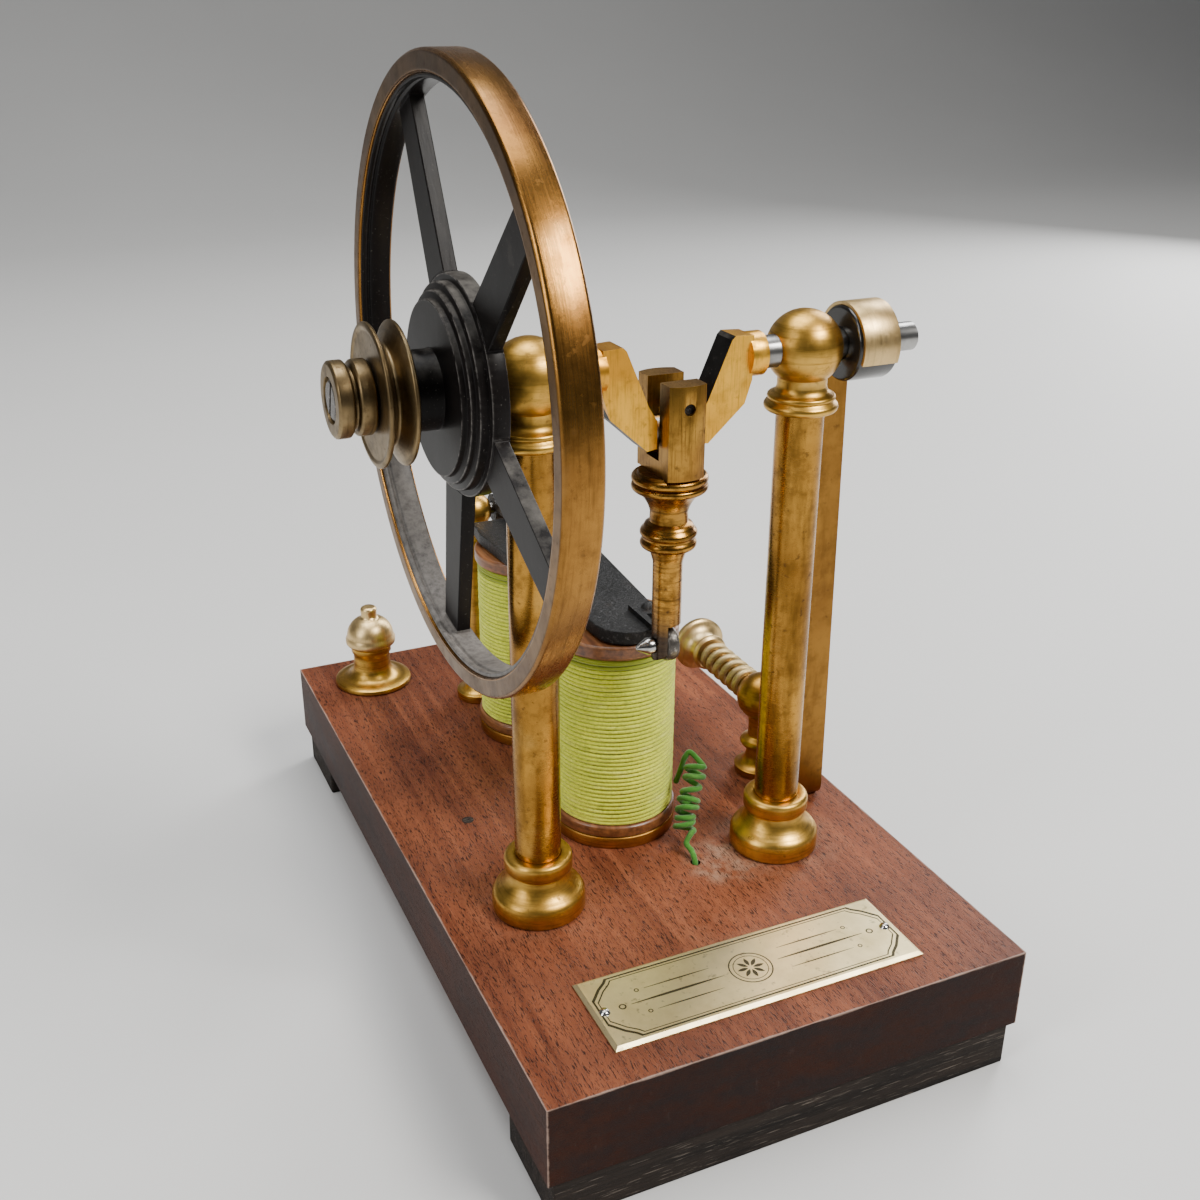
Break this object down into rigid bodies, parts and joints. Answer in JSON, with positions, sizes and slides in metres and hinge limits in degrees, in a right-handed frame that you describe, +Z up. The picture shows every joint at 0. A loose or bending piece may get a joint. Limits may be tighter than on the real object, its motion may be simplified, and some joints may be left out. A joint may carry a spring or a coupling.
{
  "type": "electromagnetic beam engine model",
  "caption": "Antique-style electromagnetic beam engine: two upright coils pull a hinged iron plate that turns a crankshaft with flywheel, pulley and commutator on a wooden base.",
  "frame": {"origin": "on the table, level with the undersides of the battens, at the middle of the whole engine's outline seen from above, which is 7.4 mm to the left of the base board's middle because the wheel and pulley overhang it", "axes": "+Z up along the columns, +Y from the maker's plate at the front to the terminals at the rear, +X along the crankshaft from the flywheel towards the commutator"},
  "size_m": [0.1168, 0.18, 0.1922],
  "materials": {
    "mahogany": "worn varnished",
    "stained_softwood": "rough stained",
    "steel": "worn",
    "nickel_silver": "tarnished satin",
    "lacquered_brass": "polished with tarnish",
    "aged_brass": "aged satin",
    "bobbin_wood": "turned and varnished",
    "cotton_winding": "cotton-covered wire",
    "green_lead": "cotton-covered wire",
    "dark_iron": "blackened",
    "black_paint": "worn satin",
    "ebonite": "polished"
  },
  "bodies": {
    "root": {"base_board": "mahogany", "front_batten": "stained_softwood", "rear_batten": "stained_softwood", "batten_screws": "steel", "name_plate": "nickel_silver", "plate_nails": "nickel_silver", "left_column_foot": "lacquered_brass", "right_column_foot": "lacquered_brass", "left_column_tube": "lacquered_brass", "right_column_tube": "lacquered_brass", "left_bearing_head": "lacquered_brass", "right_bearing_head": "lacquered_brass", "column_studs": "steel", "column_nuts": "aged_brass", "front_coil_plate": "lacquered_brass", "rear_coil_plate": "lacquered_brass", "front_bobbin": "bobbin_wood", "rear_bobbin": "bobbin_wood", "front_winding": "cotton_winding", "rear_winding": "cotton_winding", "front_core": "dark_iron", "rear_core": "dark_iron", "yoke_bar": "dark_iron", "yoke_screws": "steel", "coil_lead": "green_lead", "base_wiring": "green_lead", "left_pivot_post": "lacquered_brass", "right_pivot_post": "lacquered_brass", "pivot_pin": "steel", "pivot_nuts": "aged_brass", "contact_strip": "aged_brass", "strip_screws": "aged_brass", "contact_post": "lacquered_brass", "contact_nut": "aged_brass", "contact_spring": "aged_brass", "left_terminal_post": "lacquered_brass", "right_terminal_post": "lacquered_brass", "terminal_nuts": "aged_brass"},
    "crankshaft": {"crankshaft_left": "steel", "crankshaft_right": "steel", "left_web": "lacquered_brass", "right_web": "lacquered_brass", "crank_pin": "steel", "flywheel_rim": "aged_brass", "flywheel_spider": "black_paint", "drive_pulley": "aged_brass", "end_nut": "aged_brass", "end_screw": "steel", "commutator_drum": "ebonite", "commutator_sleeve": "lacquered_brass"},
    "con_rod": {"rod_fork": "lacquered_brass", "rod_shank": "lacquered_brass", "fork_pin": "steel", "rod_eye": "dark_iron", "rod_pin": "steel"},
    "armature": {"armature_plate": "dark_iron", "armature_fittings": "dark_iron"},
    "left_nut": {"left_thumb_nut": "aged_brass"},
    "right_nut": {"right_thumb_nut": "aged_brass"},
    "contact_adjuster": {"contact_screw": "aged_brass"}
  },
  "joints": [
    {"name": "crank_turn", "type": "hinge", "parent": "root", "child": "crankshaft", "pos_m": [0.0049, -0.036, 0.1385], "axis": [1, 0, 0], "continuous": true},
    {"name": "rod_swing", "type": "hinge", "parent": "crankshaft", "child": "con_rod", "pos_m": [0.0049, -0.036, 0.1263], "axis": [1, 0, 0], "continuous": true},
    {"name": "armature_tilt", "type": "hinge", "parent": "root", "child": "armature", "pos_m": [0.0049, 0.056, 0.08], "axis": [-1, 0, 0], "range_deg": [0, 15.4]},
    {"name": "left_nut_lift", "type": "slide", "parent": "root", "child": "left_nut", "axis": [0, 0, 1], "range_m": [0, 0.003]},
    {"name": "right_nut_lift", "type": "slide", "parent": "root", "child": "right_nut", "axis": [0, 0, 1], "range_m": [0, 0.003]},
    {"name": "contact_screw_travel", "type": "slide", "parent": "root", "child": "contact_adjuster", "axis": [0, 1, 0], "range_m": [0, 0.002]}
  ],
  "couplings": [
    {"joint": "rod_swing", "follows": "crank_turn", "ratio": -1}
  ]
}
